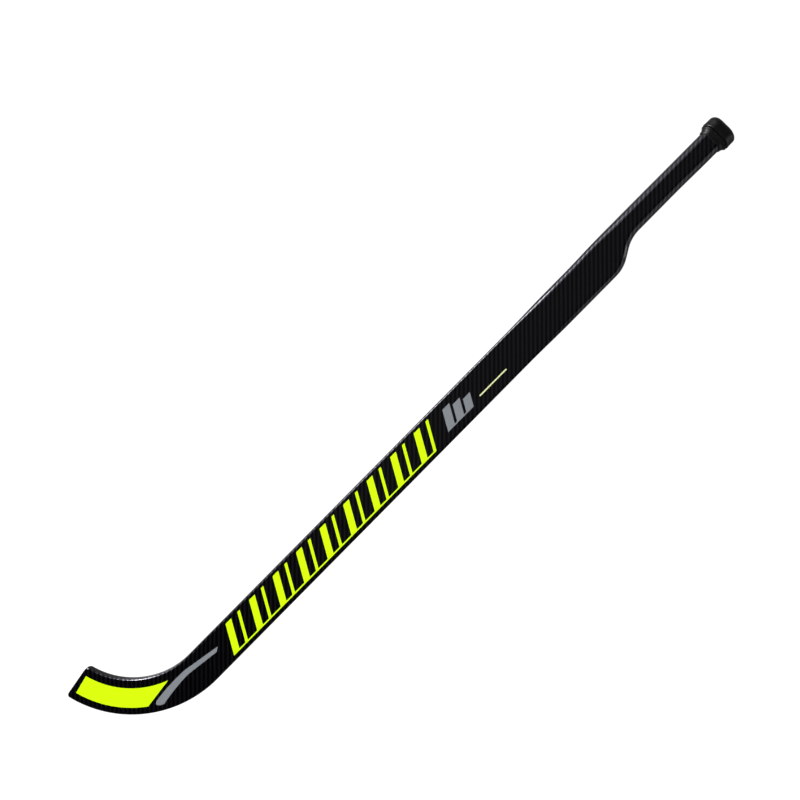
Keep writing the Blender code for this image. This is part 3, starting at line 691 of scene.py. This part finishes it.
def ink(name, shades, glow=0.0, metallic=0.0):
    """Screened ink under lacquer: a fine mottle, the weave showing through faintly, and any glow painted on.
    """
    material, tree, shader = new_finish(name)
    hump, _, _ = cloth(tree)
    place = place_on_piece(tree)
    mottle = reckon(tree, "MULTIPLY", noise(tree, place, 1500.0, 3.0), MOTTLE_WEIGHT)
    patch = reckon(tree, "MULTIPLY", noise(tree, place, 35.0), PATCH_WEIGHT)
    colour = tint(tree, reckon(tree, "ADD", mottle, patch), *shades)
    set_up(tree, shader, Base_Color=colour, Metallic=metallic, Roughness=0.5, Specular_IOR_Level=0.1,
           Normal=bumps(tree, hump, 0.006 * MM), Coat_Weight=1.0, Coat_Roughness=0.05,
           Coat_Normal=lacquer_ripple(tree))
    # Painted glow: the ink gives off light in its own colour.
    if glow:
        set_up(tree, shader, Emission_Color=colour, Emission_Strength=glow)
    return material


yellow_ink = ink("fluorescent yellow ink with painted glow", YELLOW_SHADES, glow=YELLOW_PAINTED_GLOW)
grey_ink = ink("silver grey ink", GREY_SHADES, metallic=GREY_METALLIC)
pale_ink = ink("pale yellow ink", PALE_SHADES)

for face, side in (("front", 1), ("back", -1)):
    film(face, side, "blade_panel", blade_panel(), yellow_ink)
    film(face, side, "heel_stripe", heel_stripe(), grey_ink)
    paddle_bars = [(BAR_START + k * BAR_PITCH, BAR_WIDTHS[k % 2], BAR_HALF_HEIGHT) for k in range(BAR_COUNT)]
    film(face, side, "paddle_bars", comb(paddle_bars, -BAR_HALF_HEIGHT), yellow_ink)
    film(face, side, "grey_bars", comb(np.array(GREY_BARS) * MM, GREY_BASE_Y), grey_ink)
    low, high = PINSTRIPE_Y - PINSTRIPE_HALF_WIDTH, PINSTRIPE_Y + PINSTRIPE_HALF_WIDTH
    film(face, side, "pinstripe", np.array([
        (PINSTRIPE[0], low), (PINSTRIPE[1], low), (PINSTRIPE[1], high), (PINSTRIPE[0], high)]),
         pale_ink)

# End cap
# One moulding of black rubber, pushed over the tenon and held by its own grip. A thin lip lies against the
# skins, a collar flares out to a groove, and a thick head with a rounded end stops the hand.
CAP_WAIST = ((0.0, 0.3), (0.25, 0.75), (0.6, 0.95), (2.0, 1.4), (4.4, 1.85), (5.6, 2.5), (7.0, 3.75),
             (8.0, 4.75), (8.3, 4.95), (8.5, 4.7), (8.75, 3.4), (9.2, 2.6), (9.65, 3.4), (9.9, 4.4),
             (10.6, 5.1), (11.5, 5.35), (12.4, 5.4), (15.8, 5.0))
CAP_END_RUN = 8.5 * MM
CAP_END_TURN_IN = (9.0 * MM, 13.0 * MM)
CAP_END_THINNING = 8.5 * MM
CAP_END_CORNER_LOSS = 7.9 * MM
CAP_THICKNESS_SHARE = 0.67
CAP_CORNER_SHARE = 0.85
CAP_BOW_FADE = (10 * MM, 20 * MM)
WAIST_BLUR = 0.1 * MM
LIP_ROUNDING = 0.2 * MM
SOCKET_GAP = 0.3 * MM
RUBBER_SHADES = ((0.0008, 0.0008, 0.001), (0.003, 0.003, 0.0035))
RUBBER_ROUGHNESS = 0.31
RUBBER_ROUGHNESS_GAIN = 0.12
HANDLE_TOP_Y = PADDLE_HALF_WIDTH + SWELL + CONCAVE_RISE - CONCAVE_DRIFT
HANDLE_BOTTOM_Y = -PADDLE_HALF_WIDTH - SWELL + SHOULDER_RISE - CONVEX_DRIFT
HANDLE_MIDDLE_Y = (HANDLE_TOP_Y + HANDLE_BOTTOM_Y) / 2
HANDLE_HALF_WIDTH = (HANDLE_TOP_Y - HANDLE_BOTTOM_Y) / 2


def sections(x, middle_y, half_width, half_thickness, corner, bowed, steps=10):
    """Rounded rectangles across the handle's axis, one for each place x along it.

    Each quarter is an arc of the corner radius; the places are bowed along the axis by the square of the
    height over the half thickness.
    """
    turns = np.linspace(0, math.pi / 2, steps)
    turns = np.concatenate([turns + k * math.pi / 2 for k in range(4)])
    sign_y = np.repeat([1, -1, -1, 1], steps)
    sign_z = np.repeat([1, 1, -1, -1], steps)
    x, middle_y, half_width, half_thickness, corner, bowed = (
        np.broadcast_to(value, np.shape(x))[:, None]
        for value in (x, middle_y, half_width, half_thickness, corner, bowed))
    y = middle_y + sign_y * (half_width - corner) + corner * np.cos(turns)
    z = sign_z * (half_thickness - corner) + corner * np.sin(turns)
    return np.stack([x + bowed * BOW * (z / half_thickness) ** 2, y, z], axis=-1)


def knob():
    """The cap's surface: sections up the socket, round the lip, along the waist and over the rounded end.

    Past the lip's rounding, how far the cap stands out of the handle is the table's value, averaged with
    weights that fall as a bell curve of the distance along the axis.
    """
    base_corner = edge_radius(LIP_X)
    table = np.array(CAP_WAIST) * MM
    along = np.concatenate([np.linspace(a, b, 5)[:-1] for a, b in zip(table[:-1, 0], table[1:, 0])])
    stand = np.interp(along, *table.T)
    weights = np.exp(-0.5 * ((along[:, None] - along) / WAIST_BLUR) ** 2)
    weights *= np.gradient(along)
    stand = np.where(along < LIP_ROUNDING, stand, weights @ stand / weights.sum(axis=1))
    turns = np.linspace(0, math.pi / 2, 22)
    along = np.concatenate([along, CAP_LENGTH - CAP_END_RUN * (1 - np.sin(turns))])
    stand = np.concatenate([stand, np.full(len(turns), table[-1, 1])])
    closing = np.concatenate([np.zeros(len(along) - len(turns)), 1 - np.cos(turns)])
    turn_in = closing[:, None] * CAP_END_TURN_IN
    outside = sections(
        along, (turn_in[:, 1] - turn_in[:, 0]) / 2, HANDLE_HALF_WIDTH + stand - turn_in.sum(axis=1) / 2,
        HALF_THICKNESS + CAP_THICKNESS_SHARE * stand - closing * CAP_END_THINNING,
        base_corner + CAP_CORNER_SHARE * stand - closing * CAP_END_CORNER_LOSS, 1 - ease(along, CAP_BOW_FADE))
    grow = SOCKET_GAP - TENON_STEP
    socket = sections(np.array([BUTT_X + SOCKET_GAP - LIP_X, 0.0]), 0.0, HANDLE_HALF_WIDTH + grow,
                      HALF_THICKNESS + grow, base_corner + grow, np.array([0.0, 1.0]))
    return np.concatenate([socket, outside])


def rubber(name):
    """Moulded rubber: a fine grain with a satin gloss, a little blacker and shinier in patches."""
    material, tree, shader = new_finish(name)
    place = place_on_piece(tree)
    grain = noise(tree, place, 2600.0, 3.0)
    worn = noise(tree, place, 110.0, 3.0)
    rough = reckon(tree, "ADD", RUBBER_ROUGHNESS, reckon(tree, "MULTIPLY", worn, RUBBER_ROUGHNESS_GAIN))
    set_up(tree, shader, Base_Color=tint(tree, worn, *RUBBER_SHADES), Roughness=rough,
           Normal=bumps(tree, grain, 0.012 * MM))
    return material


rings = knob()
knob_piece = add_piece("rubber_knob", rings.reshape(-1, 3) + (LIP_X, HANDLE_MIDDLE_Y, 0),
                       stacked_faces(*rings.shape[:2]), (rubber("black moulded rubber"),), "cap",
                       sharp=50)
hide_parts("end_cap")

# Floor
# A broad sheet of white acrylic, lit from below, on which the cap's underside and the blade's back rest.
# Masks hold back the light that it throws, most of all on the stick's outer side and past the toe, so that
# those edges stay dark. The camera sees the sheet without the masks, as evenly white.
FLOOR_HALF_SIZE = 40.0
FLOOR_LINES = 9
REST_NEAR_CAP = (0.512, 0.0)
REST_UNDER_BLADE = (-0.530, 3.618 * MM)
MASK_ACROSS = (-0.045, -0.025)
MASK_AT_TOE = (-0.49, -0.42)
MASK_AT_HANDLE = (0.19, 0.23)
MASKED_GLOW = 0.03
OPEN_GLOW = 0.3
HANDLE_GLOW = 0.12
SEEN_GLOW = 0.965
FLOOR_TO_STICK = (0.02, 0.02, 0.02)
FLOOR_TO_CAMERA = ((0.20, 0.20, 0.20), (0.22, 0.22, 0.22))

slope = (REST_UNDER_BLADE[1] - REST_NEAR_CAP[1]) / (REST_UNDER_BLADE[0] - REST_NEAR_CAP[0])
across = np.linspace(-FLOOR_HALF_SIZE, FLOOR_HALF_SIZE, FLOOR_LINES)
floor_x, floor_y = np.meshgrid(across, across, indexing="ij")
floor_z = (floor_x - REST_NEAR_CAP[0]) * slope
floor_mesh = bpy.data.meshes.new("floor")
floor_points = np.stack([floor_x, floor_y, floor_z], axis=-1).reshape(-1, 3)
floor_mesh.from_pydata(floor_points.tolist(), [], grid_faces(FLOOR_LINES, FLOOR_LINES))
floor = bpy.data.objects.new("floor", floor_mesh)
bpy.context.scene.collection.objects.link(floor)
material, tree, shader = new_finish("lit white acrylic")


def fade_in(tree, value, run):
    """0 before the run, 1 after it, and a smooth step along it, as a node."""
    return wire(tree, "ShaderNodeMapRange", {"Value": value, "From Min": run[0], "From Max": run[1]},
                interpolation_type="SMOOTHSTEP").outputs[0]


haze = noise(tree, place_on_piece(tree), 3.0)
parts = wire(tree, "ShaderNodeSeparateXYZ", {0: place_on_piece(tree)})
inner_side = fade_in(tree, parts.outputs[1], MASK_ACROSS)
past_toe = fade_in(tree, parts.outputs[0], MASK_AT_TOE)
by_handle = fade_in(tree, parts.outputs[0], MASK_AT_HANDLE)
unmasked = reckon(tree, "MULTIPLY", inner_side, past_toe)
thrown = reckon(tree, "MAXIMUM", reckon(tree, "MULTIPLY", unmasked, OPEN_GLOW),
                reckon(tree, "MULTIPLY", by_handle, HANDLE_GLOW))
thrown = reckon(tree, "ADD", thrown, MASKED_GLOW)
seen = wire(tree, "ShaderNodeLightPath").outputs["Is Camera Ray"]
glow = blend(tree, seen, thrown, SEEN_GLOW)
set_up(tree, shader, Base_Color=tint(tree, seen, FLOOR_TO_STICK, tint(tree, haze, *FLOOR_TO_CAMERA)),
       Roughness=0.9, Specular_IOR_Level=0.0, Emission_Color=(1.0, 1.0, 1.0, 1.0), Emission_Strength=glow)
floor_mesh.materials.append(material)

# Studio
# A dim room, which the camera sees as white. Its ceiling is dark but for one faint glow, so that the flat
# faces stay black. Walls of light and softboxes on the hook's side draw the bright upper edges, two softboxes
# across from them light the handle's and the cap's outer sides, and one from above fills in.
CEILING_EDGE = (math.cos(math.radians(37)), math.cos(math.radians(20)))
CEILING_SHARE = 0.32
ROOM_LIGHT = (0.06, 0.04)
ROOM_BRIGHT_WAY = math.radians(30)
ROOM_BRIGHT_RUN = (0.1, 0.8)
ROOM_TO_CAMERA = 1.0
CEILING_GLOW_WAY = (0.09, 0.0, 1.0)
CEILING_GLOW_EDGE = (math.cos(math.radians(14)), math.cos(math.radians(3)))
CEILING_GLOW = 0.075
CAMERA_FROM_HEEL = (403.74 * MM, 57.85 * MM, 2082.5 * MM)
CAMERA_ROLL = math.radians(-45.35)
CAMERA_DISTANCE_PIXELS = 1700
PHOTO_PIXELS = 800
SENSOR_WIDTH = 36.0
GRID_ANGLE = 30

world = bpy.data.worlds.new("studio")
bpy.context.scene.world = world
world.use_nodes = True
tree = world.node_tree
way = wire(tree, "ShaderNodeTexCoord").outputs["Generated"]
parts = wire(tree, "ShaderNodeSeparateXYZ", {0: way})
open_sky = wire(tree, "ShaderNodeMapRange",
                {"Value": parts.outputs[2], "From Min": CEILING_EDGE[1], "From Max": CEILING_EDGE[0],
                 "To Min": CEILING_SHARE, "To Max": 1.0}, interpolation_type="SMOOTHSTEP").outputs[0]
bright_way = (math.cos(ROOM_BRIGHT_WAY), math.sin(ROOM_BRIGHT_WAY), 0.0)
toward = wire(tree, "ShaderNodeVectorMath", {0: way, 1: bright_way}, operation="DOT_PRODUCT")
bright = fade_in(tree, toward.outputs["Value"], ROOM_BRIGHT_RUN)
room = reckon(tree, "ADD", ROOM_LIGHT[0], reckon(tree, "MULTIPLY", bright, ROOM_LIGHT[1]))
overhead = wire(tree, "ShaderNodeVectorMath", {0: way, 1: CEILING_GLOW_WAY}, operation="DOT_PRODUCT")
overhead = reckon(tree, "MULTIPLY", fade_in(tree, overhead.outputs["Value"], CEILING_GLOW_EDGE), CEILING_GLOW)
dim = reckon(tree, "ADD", reckon(tree, "MULTIPLY", open_sky, room), overhead)
seen = wire(tree, "ShaderNodeLightPath").outputs["Is Camera Ray"]
room_glow = blend(tree, seen, dim, ROOM_TO_CAMERA)
set_up(tree, tree.nodes["Background"], Color=(1.0, 1.0, 1.0, 1.0), Strength=room_glow)


def softbox(name, place, size, aim, glow, in_gloss=True, in_diffuse=True, spread=180):
    """A rectangle of light, unseen by the camera. Its power is four times its area times its brightness.

    spread is the angle in degrees that the grid in front of it leaves open.
    """
    lamp = bpy.data.lights.new(name, "AREA")
    lamp.shape = "RECTANGLE"
    lamp.size, lamp.size_y = size
    lamp.energy = 4 * size[0] * size[1] * glow
    stand = bpy.data.objects.new(name, lamp)
    bpy.context.scene.collection.objects.link(stand)
    stand.location = place
    stand.rotation_euler = (Vector(aim) - Vector(place)).to_track_quat("-Z", "Y").to_euler()
    stand.visible_camera = False
    stand.visible_glossy = in_gloss
    stand.visible_diffuse = in_diffuse
    lamp.spread = math.radians(spread)


softbox("long softbox", (0.17, 1.0, 0.55), (0.38, 0.30), (0.17, 0.0, 0.0), 15.0)
softbox("near softbox", (-0.12, 1.0, 0.55), (0.20, 0.30), (-0.12, 0.0, 0.0), 7.5)
softbox("gridded softbox", (0.06, 1.02, 0.43), (0.40, 0.42), (-0.455, 0.0, 0.0), 1.15,
        in_diffuse=False, spread=GRID_ANGLE)
softbox("end softbox", (0.46, 1.0, 0.55), (0.20, 0.30), (0.46, 0.0, 0.0), 2.4)
softbox("white wall", (0.16, 1.15, 1.2), (1.39, 2.4), (0.16, 0.0, 1.2), 0.75)
softbox("far wall", (1.31, 1.15, 1.2), (0.91, 2.4), (1.31, 0.0, 1.2), 0.25)
softbox("low softbox", (0.76, -1.1, 0.6), (0.80, 1.2), (0.76, 0.0, 0.6), 0.37)
softbox("cap softbox", (1.08, -1.1, 0.6), (0.60, 1.2), (1.08, 0.0, 0.6), 1.5)
softbox("collar softbox", (-0.75, 1.0, 0.42), (0.5, 0.56), (0.51, -0.03, 0.01), 0.17,
        in_diffuse=False, spread=GRID_ANGLE)
softbox("fill from above", (-0.55, -0.1, 1.5), (1.2, 1.0), (-0.2, 0.0, 0.0), 3.5, in_gloss=False)

camera = bpy.data.cameras.new("camera")
camera.sensor_width = SENSOR_WIDTH
camera.lens = SENSOR_WIDTH * CAMERA_DISTANCE_PIXELS / PHOTO_PIXELS
camera_stand = bpy.data.objects.new("camera", camera)
bpy.context.scene.collection.objects.link(camera_stand)
camera_stand.location = ORIGIN + CAMERA_FROM_HEEL
camera_stand.rotation_euler = (0, 0, CAMERA_ROLL)
bpy.context.scene.camera = camera_stand
bpy.context.scene.view_settings.view_transform = "Standard"
